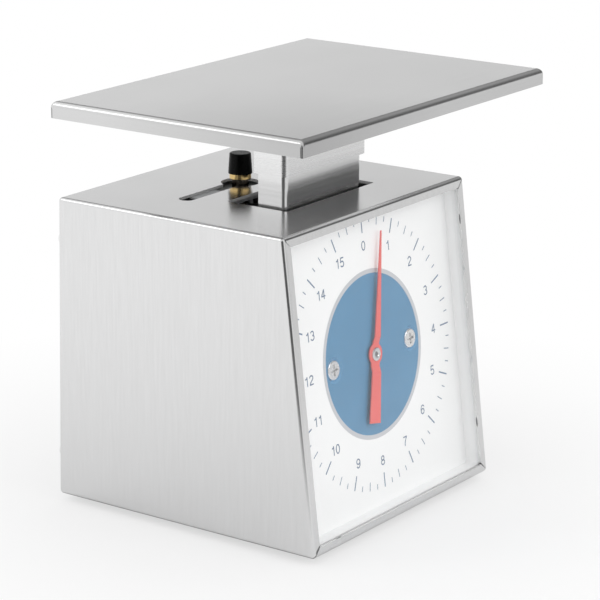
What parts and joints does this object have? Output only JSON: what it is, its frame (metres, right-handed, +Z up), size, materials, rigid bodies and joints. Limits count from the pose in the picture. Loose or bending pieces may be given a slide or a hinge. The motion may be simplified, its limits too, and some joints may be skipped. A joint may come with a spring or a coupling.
{
  "type": "mechanical portion scale",
  "caption": "Small spring-driven portion scale: steel casing with a leaning glazed dial, a red pointer and a lift-off rectangular weighing platform on a square post.",
  "frame": {"origin": "on the floor, under the middle of the width and of the depth from the platform's front edge to the foot of the casing's back", "axes": "+Z up, the dial faces -Y, +X to the right seen from the dial's side"},
  "size_m": [0.1714, 0.1411, 0.175],
  "materials": {
    "casing_steel": "fine vertical brushing",
    "platform_steel": "fine brushing",
    "post_steel": "smooth satin",
    "plated_steel": "plain zinc plate",
    "screw_steel": "bright plate",
    "pin_steel": "turned",
    "spring_wire": "drawn wire",
    "brass": "turned",
    "hub_silver": "turned",
    "hanger_aluminium": "machined",
    "damper_plastic": "moulded",
    "knob_black": "moulded",
    "foot_rubber": "moulded",
    "dial_white": "satin paint with a printed scale",
    "pointer_red": "satin paint",
    "clear_lens": "clear, polished"
  },
  "bodies": {
    "casing": {"housing_wrap": "casing_steel", "base_plate": "casing_steel", "back_cover": "casing_steel", "back_screws": "screw_steel", "corner_angles": "plated_steel", "feet": "foot_rubber", "foot_screws": "screw_steel", "foot_nuts": "screw_steel", "lens": "clear_lens", "dial_plate": "dial_white", "dial_rails": "plated_steel", "dial_rail_screws": "screw_steel", "dial_screws": "screw_steel", "gear_bridge": "plated_steel", "front_bushing": "brass", "rear_bushing": "brass", "frame_pins": "pin_steel", "mechanism_frame": "plated_steel", "frame_screws": "screw_steel", "spring_bridge": "plated_steel", "bridge_screws": "screw_steel", "guide_pin": "pin_steel", "damper_cylinder": "hanger_aluminium", "damper_lid": "damper_plastic"},
    "carriage": {"platform_post": "post_steel", "post_rivets": "post_steel", "carriage": "plated_steel", "carriage_pins": "pin_steel", "rack": "brass", "rack_screw": "screw_steel", "spring_arm": "plated_steel", "arm_rivets": "pin_steel", "damper_piston": "brass", "damper_rod": "pin_steel", "rod_nut": "screw_steel"},
    "platform": {"platform_pan": "platform_steel", "platform_bracket": "post_steel"},
    "pointer": {"pointer_shaft": "pin_steel", "shaft_collar": "pin_steel", "pinion": "brass", "pointer_needle": "pointer_red", "pointer_hub": "hub_silver"},
    "upper_link": {"upper_link": "plated_steel"},
    "lower_link": {"lower_link": "plated_steel"},
    "zero_knob": {"zero_screw": "brass", "zero_clip": "pin_steel", "zero_knob_cap": "knob_black"},
    "spring_hanger": {"spring_hanger": "hanger_aluminium", "main_spring": "spring_wire"}
  },
  "joints": [
    {"name": "carriage_drop", "type": "slide", "parent": "casing", "child": "carriage", "axis": [0, 0, -1], "range_m": [-0.00042, 0.01223], "stiffness_N_per_m": 352, "springref_m": -0.0119, "deforming": ["main_spring"]},
    {"name": "platform_lift", "type": "slide", "parent": "carriage", "child": "platform", "axis": [0, 0, 1], "range_m": [0, 0.032]},
    {"name": "pointer_spin", "type": "hinge", "parent": "casing", "child": "pointer", "pos_m": [0, -0.05242, 0.06923], "axis": [0, 0.9929, -0.1188], "range_deg": [-12.5, 348.5]},
    {"name": "upper_link_swing", "type": "hinge", "parent": "casing", "child": "upper_link", "pos_m": [0, 0.0419, 0.10009], "axis": [1, 0, 0], "range_deg": [-0.6, 13.2]},
    {"name": "lower_link_swing", "type": "hinge", "parent": "casing", "child": "lower_link", "pos_m": [0, 0.0419, 0.052], "axis": [1, 0, 0], "range_deg": [-0.6, 13.2]},
    {"name": "zero_knob_turn", "type": "hinge", "parent": "casing", "child": "zero_knob", "pos_m": [0.0006, 0.0233, 0.13], "axis": [0, 0, 1], "range_deg": [-722, 722]},
    {"name": "hanger_slide", "type": "slide", "parent": "casing", "child": "spring_hanger", "axis": [0, 0, 1], "range_m": [-0.0014, 0.0014]}
  ],
  "couplings": [
    {"joint": "pointer_spin", "follows": "carriage_drop", "rad_per_m": 496.46},
    {"joint": "upper_link_swing", "follows": "carriage_drop", "rad_per_m": 18.519},
    {"joint": "lower_link_swing", "follows": "carriage_drop", "rad_per_m": 18.519},
    {"joint": "zero_knob_turn", "follows": "hanger_slide", "rad_per_m": -8976}
  ]
}
